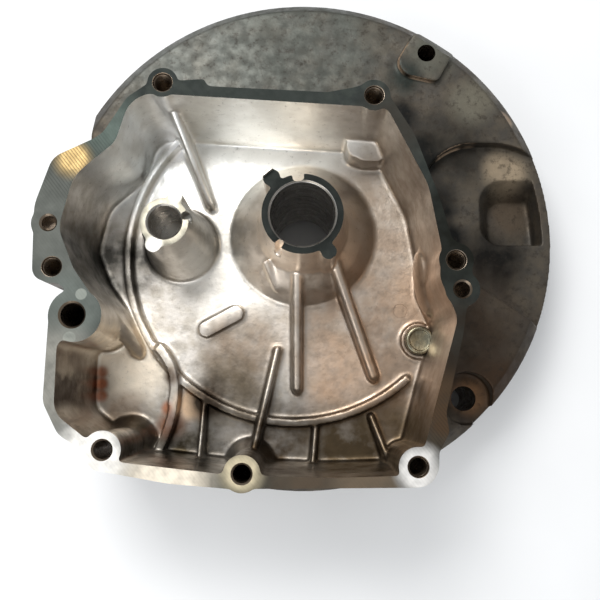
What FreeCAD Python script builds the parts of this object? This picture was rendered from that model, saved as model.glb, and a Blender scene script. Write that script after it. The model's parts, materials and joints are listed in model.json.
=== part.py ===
"""Die cast clutch and gearbox housing, with the steel plug that seals its floor.

The casting is a deep gearbox tray on the back of a clutch bell.  The bell mouth
lies on z = 0 and faces down, the gearbox joint face is the highest plane, and
the origin is where the main shaft axis crosses the mouth.  All sizes are in mm.
"""
import FreeCAD
import Part

import math
import os

from FreeCAD import Vector

# ---------------------------------------------------------------- main heights
JOINT_Z = 130.0            # gearbox joint face
TRAY_DEPTH = 70.0          # joint face down to the tray floor
FLOOR_THICKNESS = 6.0      # web between the tray and the bell
REAR_RISE = 6.0            # back of the bell above the tray floor
FLOOR_Z = JOINT_Z - TRAY_DEPTH
CEILING_Z = FLOOR_Z - FLOOR_THICKNESS
REAR_Z = FLOOR_Z + REAR_RISE

# ------------------------------------------------------------------------ bell
SHOULDER_RADIUS = 171.0    # outside of the bell where it turns into its back
SHOULDER_BREAK = 8.0       # broken corner of the shoulder
BELL_WALL = 11.0
BELL_DRAFT = 2.0           # degrees
BELL_FLAT_X = -147.0       # the drum is flat on this side
BELL_BOLT_RADIUS = 155.0   # all engine bolts lie on this circle
BELL_BOLT_BOSS_RADIUS = 14.0
BELL_TAPPED_DEPTH = 24.0
SMALL_BOLT_ANGLE = 56.0
SMALL_BOLT_DIAMETER = 12.5
LARGE_BOLT_ANGLE = -45.6
LARGE_BOLT_DIAMETER = 16.5
SPOT_FACE_RADIUS = 17.5
SPOT_FACE_DEPTH = 14.0
LUG_RISE = 4.0             # small bolt pad above the back of the bell
LUG_SETBACK = 1.0          # its outer face inside the shoulder

# ------------------------------------------------------------------- main bore
BORE_DIAMETER = 40.0
BOSS_TOP_Z = 118.0
BOSS_TOP_RADIUS = 25.0
BOSS_TERRACE_RADIUS = 40.0
BOSS_TERRACE_Z = 71.0
BOSS_FOOT_RADIUS = 50.0
BOSS_NECK_RADIUS = 25.7
BOSS_NECK_Z = 103.0
BOSS_NECK_LEAN = 1.0       # the neck widens this much down to its bend
BOSS_BEND_RISE = 3.0       # corner of the bend above the terrace
BOSS_POSTS = [(-19.0, 22.6, 5.4), (15.8, -23.5, 4.8)]    # x, y, radius
HUB_RADIUS = 36.0
HUB_FACE_Z = 24.0
OIL_SLOT_WIDTH = 7.0
OIL_SLOT_ANGLE = 96.5
OIL_SLOT_DEPTH = 18.0
DRAIN_SLOT_WIDTH = 4.5
DRAIN_SLOT_ANGLE = 233.0
DRAIN_SLOT_DEPTH = 22.0

# ----------------------------------------------------------- countershaft boss
BLIND_BOSS_CENTRE = (-82.3, -7.0)
BLIND_BOSS_TOP_Z = 126.0
BLIND_BOSS_TOP_RADIUS = 14.5
BLIND_BOSS_FOOT_RADIUS = 25.0
BLIND_BOSS_LOBES = [(-76.1, 8.4, 4.4), (-88.3, -20.6, 4.9)]    # x, y, radius
BLIND_BORE_DIAMETER = 20.0
BLIND_BORE_DEPTH = 40.0
BLIND_NOTCH_ANGLE = 16.0
BLIND_NOTCH_WIDTH = 5.0
BLIND_NOTCH_DEPTH = 9.0

# ------------------------------------------------------------------------ tray
WALL = 5.5
WALL_DRAFT = 2.6           # degrees, on both faces of the tray wall
RIM_THICKNESS = 12.0
JOINT_BOLT_DIAMETER = 10.2

# Inner edge of the joint face: corner x, corner y, corner radius.
POCKET_EDGE = [
    (-143.5, -12, 18), (-136, 20, 25), (-112, 41, 14), (-103, 72.3, 18),
    (51, 62, 7), (74.5, 14, 40), (81.3, -25, 20), (79.5, -42, 16),
    (89.5, -65, 14), (73.5, -120, 20), (64, -153.5, 5), (15, -155, 60),
    (-46, -152.8, 20), (-102, -146.5, 5), (-122, -133.5, 4), (-141, -119, 14),
    (-141, -81, 4), (-120, -55, 2), (-133.5, -36, 7),
]
# Outer edge of the joint face, between the bolt bosses.
RIM_EDGE = [
    (-125, 43, 7), (-149, 31.5, 13), (-158.5, 2, 26), (-157.5, -42, 8),
    (-142, -45, 4), (-136.5, -49, 2), (-146.5, -62, 6), (-147.5, -113, 13),
    (-138, -131, 12), (-122, -141, 5), (-118.5, -150.5, 6), (-74, -158.2, 60),
    (-40, -161, 60), (66, -160.2, 8), (76, -152, 7), (76.5, -141, 4),
    (82.5, -130, 4), (81, -119, 9), (92, -75, 30), (95, -57, 5),
    (98.5, -40, 4), (98.5, -25, 6), (87.5, -19, 6), (81, 6, 40),
    (67, 45.5, 30), (53, 69, 8), (44, 79, 6), (31, 75, 4), (15, 72, 8),
    (-57, 76, 2), (-60, 80.6, 2), (-76, 79.5, 5), (-93.5, 78, 4),
    (-106, 69, 12), (-119.5, 47, 10),
]

# Joint bolts: x, y, column radius, and radius of a flared column's foot or 0.
JOINT_BOLTS = {
    "top_left": (-84.8, 78.5, 9.3, 0),
    "top_right": (43.3, 70.1, 9.8, 0),
    "right": (89.5, -31.2, 10.2, 0),
    "left": (-146.2, -34.9, 9.8, 0),
    "bottom_left": (-112.7, -139.6, 10.7, 18.0),
    "bottom": (-34.1, -152.8, 10.5, 17.0),
    "bottom_right": (64.6, -148.9, 11.0, 0),
}
COLUMN_FOOT_RISE = 14.0
JOINT_BOLT_DEPTH = 34.0
OPEN_BOLTS = ("left", "bottom_left", "bottom", "bottom_right")
DOWEL = (92.6, -48.4)
DOWEL_DIAMETER = 9.0
DOWEL_DEPTH = 30.0
DOWEL_BOSS_RADIUS = 10.2
LOCATOR = (-149.6, -8.6)
LOCATOR_DIAMETER = 8.5
LOCATOR_DEPTH = 9.0
OIL_HOLE = (-133.1, -63.2)
OIL_HOLE_DIAMETER = 14.0
OIL_COLUMN_CENTRE = (-131.5, -63.5)
OIL_COLUMN_RADIUS = 15.5

# ------------------------------------------------------------------- tray ribs
RIB_DRAFT = 2.0            # degrees
RIB_ROOT = 1.0             # how far ribs run down into the floor
RIB_CREST_FLAT = 0.4       # share of a crest that is flat, the rest is broken off at 45 degrees
RIB_TIP = 0.35             # width of a rib's tip as a share of the rib
# Straight ribs: start x, y and crest z, end x, y and crest z, crest width.
STRAIGHT_RIBS = {
    "corner_gusset": (-83.0, 73.0, 112.0, -63.0, 20.0, 72.0, 4.6),
    "bore_spoke": (-3.8, -18.0, 84.0, -3.8, -105.0, 70.0, 6.4),
    "bore_spoke_right": (19.5, -18.0, 82.0, 47.0, -97.0, 69.0, 7.0),
    "bore_stub": (-24.0, -22.0, 84.0, -17.0, -38.0, 70.0, 5.0),
    "chamber_dam": (-124.0, -54.0, 108.0, -109.5, -80.0, 68.0, 9.0),
    "skirt_left": (-64.5, -112.0, 67.0, -66.0, -151.0, 78.0, 3.2),
    "skirt_slant": (-16.5, -77.0, 68.0, -31.8, -146.0, 80.0, 4.4),
    "skirt_centre": (8.6, -127.0, 66.5, 6.0, -157.0, 72.0, 3.4),
    "skirt_right": (44.2, -121.0, 66.0, 54.8, -151.0, 80.0, 3.8),
}
# Curved ribs: centre x, y, radius, first and last angle, crest z, crest width.
CURVED_RIBS = {
    "clutch_ring": (-6.0, -14.0, 112.5, 134.0, 312.0, 67.5, 4.6),
    "baffle_upper": (-121.5, -104.0, 37.5, -17.0, 46.0, 70.0, 5.4),
    "baffle_lower": (-160.5, -107.0, 76.5, -29.0, 8.0, 70.0, 5.4),
}
OIL_PAD = (-64.5, -64.6, -45.1, -54.1)
OIL_PAD_WIDTH = 10.4
OIL_PAD_RISE = 4.0
CORNER_LUMP = [(29, 70, 2), (29.5, 52, 7), (40, 47.5, 9), (53, 46.8, 5), (58, 56, 6), (56, 70, 2)]
CORNER_LUMP_RISE = 17.0
CORNER_LUMP_SLOPE = 9.0    # rise of its top towards the wall

# -------------------------------------------------------- back of the bell
STARTER_TERRACE = [
    (80, -14, 4), (80, 30, 4), (92, 64.5, 38), (140, 64.5, 50), (200, 40, 4),
    (200, -30, 4), (160, -64, 3), (106, -27, 8),
]
STARTER_TERRACE_DEPTH = 9.0
# Starter pocket, level with the back of the bell and at its floor.
STARTER_POCKET = [(118.5, -7, 16), (118.5, 45.5, 20), (170, 45.5, 4), (170, -7, 4)]
STARTER_POCKET_FLOOR = [(133, -4, 9), (133, 29, 10), (170, 29, 4), (170, -4, 4)]
STARTER_POCKET_DEPTH = 30.0
STARTER_WALL = 6.0
SMALL_BOLT_PAD = [
    (66, 122, 8), (72, 113, 5), (94, 107.5, 4), (108, 133, 7), (104, 142, 9), (84, 153, 12),
]

# --------------------------------------------------------------- engine side
ENGINE_RIB_COUNT = 8
ENGINE_RIB_THICKNESS = 5.0
ENGINE_RIB_HEIGHT = 11.0
ENGINE_RIB_START = 22.5    # angle of the first rib

# ------------------------------------------------------------------------ plug
PLUG_CENTRE = (77.6, -72.6)
PLUG_DIAMETER = 19.0
PLUG_SEAT_RADIUS = 11.8
PLUG_SEAT_RISE = 3.0
PLUG_STAND = 5.0           # plug top above its seat ring
PLUG_WALL = 1.6
PLUG_RIM = 2.6
PLUG_DISH = 0.7
PLUG_CLEARANCE = 0.02

OVERRUN = 5.0              # cutters reach this far past the metal
WELD = 1.0                 # and added metal reaches this far into what carries it
FLARE_STEPS = 2            # turned flares are made of this many cones


# -------------------------------------------------------------------- helpers
def flat_wire(points, closed=True):
    """Straight-sided wire through 3-D points."""
    vectors = [Vector(*point) for point in points]
    if closed:
        vectors.append(vectors[0])
    return Part.makePolygon(vectors)


def unit(x, y):
    length = math.hypot(x, y)
    return x / length, y / length


def turned_area(corners):
    """Signed area of a polygon, positive when it runs anticlockwise."""
    total = 0.0
    for index, here in enumerate(corners):
        after = corners[(index + 1) % len(corners)]
        total += here[0] * after[1] - after[0] * here[1]
    return total / 2.0


def inset_corners(corners, inset):
    """Move every side of a polygon inwards and adjust its corner radii to suit."""
    if turned_area(corners) < 0:
        corners = corners[::-1]
    count = len(corners)
    moved = []
    for index in range(count):
        before, here, after = corners[index - 1], corners[index], corners[(index + 1) % count]
        ax, ay = unit(here[0] - before[0], here[1] - before[1])
        bx, by = unit(after[0] - here[0], after[1] - here[1])
        turn = ax * by - ay * bx
        scale = inset / (1.0 + ax * bx + ay * by)
        x = here[0] - (ay + by) * scale
        y = here[1] + (ax + bx) * scale
        radius = here[2] - inset if turn > 0 else here[2] + inset
        moved.append((x, y, max(radius, 0.5)))
    return moved


def rounded_wire(corners, z, inset=0.0):
    """Closed wire of straight sides and tangent corner arcs at height z."""
    corners = inset_corners(corners, inset)
    count = len(corners)
    joints = []
    for index in range(count):
        before, here, after = corners[index - 1], corners[index], corners[(index + 1) % count]
        point = Vector(here[0], here[1], z)
        to_before = Vector(before[0], before[1], z) - point
        to_after = Vector(after[0], after[1], z) - point
        to_before.normalize()
        to_after.normalize()
        half_turn = (math.pi - to_before.getAngle(to_after)) / 2.0
        radius = here[2]
        tangent = radius * math.tan(half_turn)
        middle = to_before + to_after
        middle.normalize()
        reach = radius / math.cos(half_turn) - radius
        joints.append((point + to_before * tangent, point + middle * reach, point + to_after * tangent))
    edges = []
    for index, (start, middle, end) in enumerate(joints):
        edges.append(Part.Arc(start, middle, end).toShape())
        edges.append(Part.LineSegment(end, joints[(index + 1) % count][0]).toShape())
    return Part.Wire(edges)


def prism(corners, low, high, inset=0.0):
    """Straight-sided solid of a rounded outline."""
    face = Part.Face(rounded_wire(corners, low, inset))
    return face.extrude(Vector(0, 0, high - low))


def drafted(corners, low, high, inset_low, inset_high):
    """Solid of a rounded outline whose walls lean evenly from low to high."""
    wires = [rounded_wire(corners, low, inset_low), rounded_wire(corners, high, inset_high)]
    return Part.makeLoft(wires, True, True)


def turned(profile, centre=(0.0, 0.0), sweep=360.0, start=0.0):
    """Solid of revolution of a closed (radius, z) profile about a vertical axis."""
    face = Part.Face(flat_wire([(radius, 0, z) for radius, z in profile]))
    solid = face.revolve(Vector(0, 0, 0), Vector(0, 0, 1), sweep)
    solid.rotate(Vector(0, 0, 0), Vector(0, 0, 1), start)
    solid.translate(Vector(centre[0], centre[1], 0))
    return solid


def flare_points(start, corner, end, steps=FLARE_STEPS):
    """Profile points of a smooth bend from start to end that is tangent towards corner."""
    points = []
    for step in range(steps + 1):
        share = step / steps
        rest = 1.0 - share
        points.append(tuple(
            rest * rest * start[axis] + 2 * rest * share * corner[axis] + share * share * end[axis]
            for axis in (0, 1)
        ))
    return points


def cylinder(centre, diameter, low, high):
    return Part.makeCylinder(diameter / 2.0, high - low, Vector(centre[0], centre[1], low))


def cone(centre, low_radius, high_radius, low, high):
    return Part.makeCone(low_radius, high_radius, high - low, Vector(centre[0], centre[1], low))


def on_circle(radius, angle):
    return radius * math.cos(math.radians(angle)), radius * math.sin(math.radians(angle))


def rib_half_section(crest, width, root, broken=True):
    """Outer half of a rib's section, from its crest down: (offset, z) points."""
    half = width / 2.0
    if not broken:
        return [(half, crest), (half + (crest - root) * math.tan(math.radians(RIB_DRAFT)), root)]
    edge = half * RIB_CREST_FLAT
    knee = crest - (half - edge)
    foot = half + (knee - root) * math.tan(math.radians(RIB_DRAFT))
    return [(edge, crest), (half, knee), (foot, root)]


def rib_section(x, y, crest, width, root, across, broken=True):
    """Corner points of a rib's section at one point, square to its run."""
    half_section = rib_half_section(crest, width, root, broken)
    points = [(x + across[0] * offset, y + across[1] * offset, z) for offset, z in half_section[::-1]]
    return points + [(x - across[0] * offset, y - across[1] * offset, z) for offset, z in half_section]


def flat_sided(sections):
    """Solid through sections of equal corner count, with flat faces between them."""
    count = len(sections[0])
    faces = [Part.Face(flat_wire(sections[0])), Part.Face(flat_wire(sections[-1]))]
    for before, after in zip(sections, sections[1:]):
        for index in range(count):
            follow = (index + 1) % count
            faces.append(Part.Face(flat_wire([before[index], before[follow], after[follow], after[index]])))
    return Part.Solid(Part.Shell(faces))


def rib_tip(x, y, crest, width, root, along, broken=True):
    """Section just past the free end of a rib, where it narrows and drops."""
    half = width / 2.0
    across = (-along[1], along[0])
    tip_x, tip_y = x + along[0] * half, y + along[1] * half
    return rib_section(tip_x, tip_y, crest - half, width * RIB_TIP, root, across, broken)


def straight_rib(x1, y1, crest1, x2, y2, crest2, width):
    """Drafted rib between two points, with a sloping crest; its second end is free."""
    root = FLOOR_Z - RIB_ROOT
    along = unit(x2 - x1, y2 - y1)
    across = (-along[1], along[0])
    sections = [
        rib_section(x1, y1, crest1, width, root, across),
        rib_section(x2, y2, crest2, width, root, across),
        rib_tip(x2, y2, crest2, width, root, along),
    ]
    return [flat_sided(sections)]


def curved_rib(x, y, radius, first, last, crest, width):
    """Low drafted rib that follows an arc, with a flat crest and both ends free."""
    root = FLOOR_Z - RIB_ROOT
    half_section = rib_half_section(crest, width, root, False)
    outer = [(radius + offset, z) for offset, z in half_section]
    inner = [(radius - offset, z) for offset, z in half_section[::-1]]
    pieces = [turned(outer + inner, (x, y), last - first, first)]
    for angle, sense in ((first, -1), (last, 1)):
        dx, dy = on_circle(radius, angle)
        along = (-sense * dy / radius, sense * dx / radius)
        across = (-along[1], along[0])
        end = rib_section(x + dx, y + dy, crest, width, root, across, False)
        tip = rib_tip(x + dx, y + dy, crest, width, root, along, False)
        pieces.append(flat_sided([end, tip]))
    return pieces


# ----------------------------------------------------------------------- bell
def mouth_radius():
    """Outside of the drum at the mouth, which its draft makes the widest place."""
    return SHOULDER_RADIUS + (REAR_Z - SHOULDER_BREAK) * math.tan(math.radians(BELL_DRAFT))


def bell_outside():
    """Drafted drum of the bell with its broken shoulder."""
    turn_z = REAR_Z - SHOULDER_BREAK
    drum = turned([
        (0, 0),
        (mouth_radius(), 0),
        (SHOULDER_RADIUS, turn_z),
        (SHOULDER_RADIUS - SHOULDER_BREAK, REAR_Z),
        (0, REAR_Z),
    ])
    reach = 2.0 * SHOULDER_RADIUS
    cropped = Part.makeBox(reach, 2 * reach, JOINT_Z, Vector(BELL_FLAT_X - reach, -reach, -OVERRUN))
    lug = prism(SMALL_BOLT_PAD, 0, REAR_Z + LUG_RISE)
    lug_limit = Part.makeCylinder(SHOULDER_RADIUS - LUG_SETBACK, JOINT_Z)
    return drum.cut(cropped).fuse(lug.common(lug_limit))


def bell_cavity():
    """Space for the clutch, around the hub of the main bore."""
    mouth = SHOULDER_RADIUS - BELL_WALL
    space = turned([
        (0, -OVERRUN),
        (mouth, -OVERRUN),
        (mouth, CEILING_Z),
        (HUB_RADIUS, CEILING_Z),
        (HUB_RADIUS, HUB_FACE_Z),
        (0, HUB_FACE_Z),
    ])
    reach = 2.0 * SHOULDER_RADIUS
    wall_x = BELL_FLAT_X + BELL_WALL
    kept = Part.makeBox(2 * reach, 2 * reach, JOINT_Z, Vector(wall_x, -reach, -2 * OVERRUN))
    return space.common(kept)


def bell_bolts():
    """Name, centre, diameter and whether it runs through, for each engine bolt."""
    return [
        ("small_through", on_circle(BELL_BOLT_RADIUS, SMALL_BOLT_ANGLE), SMALL_BOLT_DIAMETER, True),
        ("small_tapped", on_circle(BELL_BOLT_RADIUS, SMALL_BOLT_ANGLE + 180), SMALL_BOLT_DIAMETER, False),
        ("large_through", on_circle(BELL_BOLT_RADIUS, LARGE_BOLT_ANGLE), LARGE_BOLT_DIAMETER, True),
        ("large_tapped", on_circle(BELL_BOLT_RADIUS, LARGE_BOLT_ANGLE + 180), LARGE_BOLT_DIAMETER, False),
    ]


def bell_fillings():
    """Metal inside the bell: bolt bosses, ceiling ribs and the starter's shell."""
    drum_limit = Part.makeCylinder(SHOULDER_RADIUS - BELL_WALL / 2.0, CEILING_Z + WELD)
    reach = 2.0 * SHOULDER_RADIUS
    inner_side = Part.makeBox(2 * reach, 2 * reach, JOINT_Z, Vector(BELL_FLAT_X + BELL_WALL / 2.0, -reach, 0))
    pieces = []
    for _, centre, _, _ in bell_bolts():
        boss = cylinder(centre, 2 * BELL_BOLT_BOSS_RADIUS, 0, CEILING_Z + WELD)
        pieces.append(boss.common(drum_limit))
    spot_backing = cylinder(
        on_circle(BELL_BOLT_RADIUS, LARGE_BOLT_ANGLE),
        2 * (SPOT_FACE_RADIUS + STARTER_WALL),
        REAR_Z - SPOT_FACE_DEPTH - STARTER_WALL,
        CEILING_Z + WELD,
    )
    pieces.append(spot_backing.common(drum_limit))
    for index in range(ENGINE_RIB_COUNT):
        angle = ENGINE_RIB_START + index * 360.0 / ENGINE_RIB_COUNT
        length = SHOULDER_RADIUS - BELL_WALL / 2.0 - HUB_RADIUS
        rib = Part.makeBox(
            length,
            ENGINE_RIB_THICKNESS,
            ENGINE_RIB_HEIGHT + WELD,
            Vector(HUB_RADIUS, -ENGINE_RIB_THICKNESS / 2.0, CEILING_Z - ENGINE_RIB_HEIGHT),
        )
        rib.rotate(Vector(0, 0, 0), Vector(0, 0, 1), angle)
        pieces.append(rib.common(inner_side))
    terrace_z = REAR_Z - STARTER_TERRACE_DEPTH
    terrace = prism(STARTER_TERRACE, terrace_z - STARTER_WALL, CEILING_Z + WELD, -STARTER_WALL)
    pieces.append(terrace.common(drum_limit))
    pocket_z = REAR_Z - STARTER_POCKET_DEPTH
    shell = prism(STARTER_POCKET, pocket_z - STARTER_WALL, CEILING_Z + WELD, -WELD)
    pieces.append(shell.common(drum_limit))
    return pieces


# ----------------------------------------------------------------------- tray
def wall_lean():
    return TRAY_DEPTH * math.tan(math.radians(WALL_DRAFT))


def tray_outside():
    """Tray wall and the rim that carries the joint face."""
    lean = (JOINT_Z - CEILING_Z) * math.tan(math.radians(WALL_DRAFT)) / 2.0
    wall = drafted(POCKET_EDGE, CEILING_Z, JOINT_Z - RIM_THICKNESS / 2.0, -WALL - lean, -WALL)
    rim = prism(RIM_EDGE, JOINT_Z - RIM_THICKNESS, JOINT_Z)
    pieces = [wall, rim]
    for x, y, radius, _ in JOINT_BOLTS.values():
        pieces.append(cylinder((x, y), 2 * radius, CEILING_Z, JOINT_Z))
    pieces.append(cylinder(OIL_COLUMN_CENTRE, 2 * OIL_COLUMN_RADIUS, CEILING_Z, JOINT_Z))
    for centre in (DOWEL, LOCATOR):
        pieces.append(cylinder(centre, 2 * DOWEL_BOSS_RADIUS, JOINT_Z - 2 * DOWEL_DEPTH, JOINT_Z))
    return pieces


def tray_pocket():
    """Space inside the tray wall, less the bolt columns that stand in it."""
    spread = -OVERRUN * math.tan(math.radians(WALL_DRAFT))
    space = drafted(POCKET_EDGE, FLOOR_Z, JOINT_Z + OVERRUN, wall_lean(), spread)
    columns = []
    for x, y, radius, foot in JOINT_BOLTS.values():
        columns.append(cylinder((x, y), 2 * radius, FLOOR_Z, JOINT_Z + OVERRUN))
        if foot:
            columns.append(cone((x, y), foot, radius, FLOOR_Z, FLOOR_Z + COLUMN_FOOT_RISE))
    columns.append(cylinder(OIL_COLUMN_CENTRE, 2 * OIL_COLUMN_RADIUS, FLOOR_Z, JOINT_Z + OVERRUN))
    columns.append(cylinder(DOWEL, 2 * DOWEL_BOSS_RADIUS, JOINT_Z - DOWEL_DEPTH, JOINT_Z + OVERRUN))
    return space.cut(columns[0].multiFuse(columns[1:]))


# --------------------------------------------------------------------- bosses
def main_boss():
    """Flared boss of the main bore, with the two posts on its rim."""
    neck = (BOSS_NECK_RADIUS, BOSS_NECK_Z)
    terrace = (BOSS_TERRACE_RADIUS, BOSS_TERRACE_Z)
    bend = (BOSS_NECK_RADIUS + BOSS_NECK_LEAN, BOSS_TERRACE_Z + BOSS_BEND_RISE)
    flare = flare_points(neck, bend, terrace)
    core = [(0, FLOOR_Z - RIB_ROOT), (0, BOSS_TOP_Z), (BOSS_TOP_RADIUS, BOSS_TOP_Z)]
    body = turned(core + flare + [(BOSS_FOOT_RADIUS, FLOOR_Z - RIB_ROOT)])
    posts = [cylinder((x, y), 2 * radius, FLOOR_Z, BOSS_TOP_Z) for x, y, radius in BOSS_POSTS]
    return [body] + posts


def blind_boss():
    """Tapered boss of the countershaft bearing, with its two lobes."""
    body = cone(BLIND_BOSS_CENTRE, BLIND_BOSS_FOOT_RADIUS, BLIND_BOSS_TOP_RADIUS, FLOOR_Z - RIB_ROOT, BLIND_BOSS_TOP_Z)
    lobes = [cylinder((x, y), 2 * radius, FLOOR_Z, BLIND_BOSS_TOP_Z) for x, y, radius in BLIND_BOSS_LOBES]
    return [body] + lobes


def corner_lump():
    """Foot of the upper right bolt column, with a sloping top."""
    block = prism(CORNER_LUMP, FLOOR_Z - RIB_ROOT, FLOOR_Z + CORNER_LUMP_RISE + CORNER_LUMP_SLOPE)
    front = min(corner[1] for corner in CORNER_LUMP)
    back = max(corner[1] for corner in CORNER_LUMP)
    low = FLOOR_Z + CORNER_LUMP_RISE
    left = min(corner[0] for corner in CORNER_LUMP) - OVERRUN
    right = max(corner[0] for corner in CORNER_LUMP) + OVERRUN
    waste = flat_wire([
        (left, front, low),
        (left, back, low + CORNER_LUMP_SLOPE),
        (left, back, JOINT_Z),
        (left, front, JOINT_Z),
    ])
    return block.cut(Part.Face(waste).extrude(Vector(right - left, 0, 0)))


def oil_pad():
    """Raised obround pad on the floor."""
    x1, y1, x2, y2 = OIL_PAD
    half = OIL_PAD_WIDTH / 2.0
    along = unit(x2 - x1, y2 - y1)
    side = (-along[1] * half, along[0] * half)
    top = FLOOR_Z + OIL_PAD_RISE
    start, end = Vector(x1, y1, top), Vector(x2, y2, top)
    sideways = Vector(side[0], side[1], 0)
    forward = Vector(along[0] * half, along[1] * half, 0)
    wire = Part.Wire([
        Part.LineSegment(start + sideways, end + sideways).toShape(),
        Part.Arc(end + sideways, end + forward, end - sideways).toShape(),
        Part.LineSegment(end - sideways, start - sideways).toShape(),
        Part.Arc(start - sideways, start - forward, start + sideways).toShape(),
    ])
    return Part.Face(wire).extrude(Vector(0, 0, -OIL_PAD_RISE - RIB_ROOT))


# ----------------------------------------------------------------------- cuts
def drilled(centre, diameter, top, depth):
    """Blind flat-bottomed hole."""
    return cylinder(centre, diameter, top - depth, top + OVERRUN)


def joint_holes():
    """Bolt, dowel, locator and oil holes in the joint face."""
    cuts = []
    for name, (x, y, _, _) in JOINT_BOLTS.items():
        if name in OPEN_BOLTS:
            cuts.append(cylinder((x, y), JOINT_BOLT_DIAMETER, CEILING_Z - OVERRUN, JOINT_Z + OVERRUN))
        else:
            cuts.append(drilled((x, y), JOINT_BOLT_DIAMETER, JOINT_Z, JOINT_BOLT_DEPTH))
    cuts.append(drilled(DOWEL, DOWEL_DIAMETER, JOINT_Z, DOWEL_DEPTH))
    cuts.append(drilled(LOCATOR, LOCATOR_DIAMETER, JOINT_Z, LOCATOR_DEPTH))
    cuts.append(cylinder(OIL_HOLE, OIL_HOLE_DIAMETER, CEILING_Z - OVERRUN, JOINT_Z + OVERRUN))
    return cuts


def radial_slot(centre, angle, width, inner, outer, low, high):
    """Box cutter that points outwards from a centre."""
    box = Part.makeBox(outer - inner, width, high - low, Vector(inner, -width / 2.0, low))
    box.rotate(Vector(0, 0, 0), Vector(0, 0, 1), angle)
    box.translate(Vector(centre[0], centre[1], 0))
    return box


def boss_cuts():
    """Main bore with its slots, and the countershaft bore with its notch."""
    top = BOSS_TOP_Z + OVERRUN
    outer = BOSS_TOP_RADIUS + 2 * OVERRUN
    inner = BORE_DIAMETER / 2.0 - OVERRUN
    blind_top = BLIND_BOSS_TOP_Z
    notch_inner = BLIND_BORE_DIAMETER / 2.0 - OVERRUN
    notch_outer = BLIND_BOSS_TOP_RADIUS + OVERRUN
    return [
        cylinder((0, 0), BORE_DIAMETER, -OVERRUN, top),
        radial_slot((0, 0), OIL_SLOT_ANGLE, OIL_SLOT_WIDTH, inner, outer, BOSS_TOP_Z - OIL_SLOT_DEPTH, top),
        radial_slot((0, 0), DRAIN_SLOT_ANGLE, DRAIN_SLOT_WIDTH, inner, outer, BOSS_TOP_Z - DRAIN_SLOT_DEPTH, top),
        drilled(BLIND_BOSS_CENTRE, BLIND_BORE_DIAMETER, blind_top, BLIND_BORE_DEPTH),
        radial_slot(
            BLIND_BOSS_CENTRE, BLIND_NOTCH_ANGLE, BLIND_NOTCH_WIDTH, notch_inner, notch_outer,
            blind_top - BLIND_NOTCH_DEPTH, blind_top + OVERRUN,
        ),
    ]


def starter_pocket():
    """Cutter of the sloping starter pocket, which leaves the wall of the drum standing."""
    floor = rounded_wire(STARTER_POCKET_FLOOR, REAR_Z - STARTER_POCKET_DEPTH)
    space = Part.makeLoft([floor, rounded_wire(STARTER_POCKET, REAR_Z)], True, True)
    return space.common(Part.makeCylinder(SHOULDER_RADIUS - STARTER_WALL, JOINT_Z))


def bell_cuts():
    """Engine bolts, spot face, starter terrace and starter pocket."""
    cuts = []
    for _, centre, diameter, through in bell_bolts():
        if through:
            cuts.append(cylinder(centre, diameter, -OVERRUN, JOINT_Z))
        else:
            cuts.append(cylinder(centre, diameter, -OVERRUN, BELL_TAPPED_DEPTH))
    spot = on_circle(BELL_BOLT_RADIUS, LARGE_BOLT_ANGLE)
    cuts.append(cylinder(spot, 2 * SPOT_FACE_RADIUS, REAR_Z - SPOT_FACE_DEPTH, REAR_Z + OVERRUN))
    cuts.append(prism(STARTER_TERRACE, REAR_Z - STARTER_TERRACE_DEPTH, REAR_Z + OVERRUN))
    cuts.append(starter_pocket())
    return cuts


# ------------------------------------------------------------------- the node
def add_all(shape, pieces):
    """Fuse pieces to a shape one at a time, and refuse a piece that gets lost."""
    for piece in pieces:
        grown = shape.fuse(piece)
        if grown.Volume < shape.Volume - WELD:
            raise RuntimeError("a fused piece was lost")
        shape = grown
    return shape


def housing():
    """The whole casting."""
    bell = bell_outside().cut(bell_cavity())
    bell_tools = bell_cuts()
    bell = add_all(bell, bell_fillings()).cut(bell_tools[0].multiFuse(bell_tools[1:]))
    shell = add_all(bell, tray_outside()).cut(tray_pocket())
    inside = main_boss() + blind_boss() + [corner_lump(), oil_pad()]
    inside.append(cylinder(PLUG_CENTRE, 2 * PLUG_SEAT_RADIUS, FLOOR_Z - RIB_ROOT, FLOOR_Z + PLUG_SEAT_RISE))
    for sizes in STRAIGHT_RIBS.values():
        inside += straight_rib(*sizes)
    for sizes in CURVED_RIBS.values():
        inside += curved_rib(*sizes)
    casting = add_all(shell, inside)
    cuts = joint_holes() + boss_cuts()
    cuts.append(cylinder(PLUG_CENTRE, PLUG_DIAMETER, CEILING_Z - 3 * OVERRUN, FLOOR_Z + PLUG_SEAT_RISE + OVERRUN))
    return casting.cut(cuts[0].multiFuse(cuts[1:]))


def blanking_plug():
    """Pressed steel cup that seals the hole in the tray floor."""
    outer = PLUG_DIAMETER / 2.0 - PLUG_CLEARANCE
    top = FLOOR_Z + PLUG_SEAT_RISE + PLUG_STAND
    dish_z = top - PLUG_DISH
    dish_radius = outer - PLUG_RIM
    return turned([
        (0, dish_z - PLUG_WALL),
        (0, dish_z),
        (dish_radius, dish_z),
        (dish_radius, top),
        (outer, top),
        (outer, CEILING_Z),
        (outer - PLUG_WALL, CEILING_Z),
        (outer - PLUG_WALL, dish_z - PLUG_WALL),
    ], PLUG_CENTRE)


def main():
    os.makedirs("parts", exist_ok=True)
    for name, shape in (("housing", housing()), ("blanking_plug", blanking_plug())):
        solids = shape.Solids
        if len(solids) != 1:
            raise RuntimeError("%s has %d solids" % (name, len(solids)))
        solid = solids[0].removeSplitter()
        if not solid.isValid():
            raise RuntimeError("%s is not valid" % name)
        solid.exportStep("parts/%s.step" % name)
        print(name, "volume %.0f mm3" % solid.Volume, "box", solid.BoundBox)


main()
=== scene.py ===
"""Looks of the die cast clutch housing: its cast skin, machined faces, plug, stage and camera."""

import json
import math
from collections import namedtuple

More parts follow.
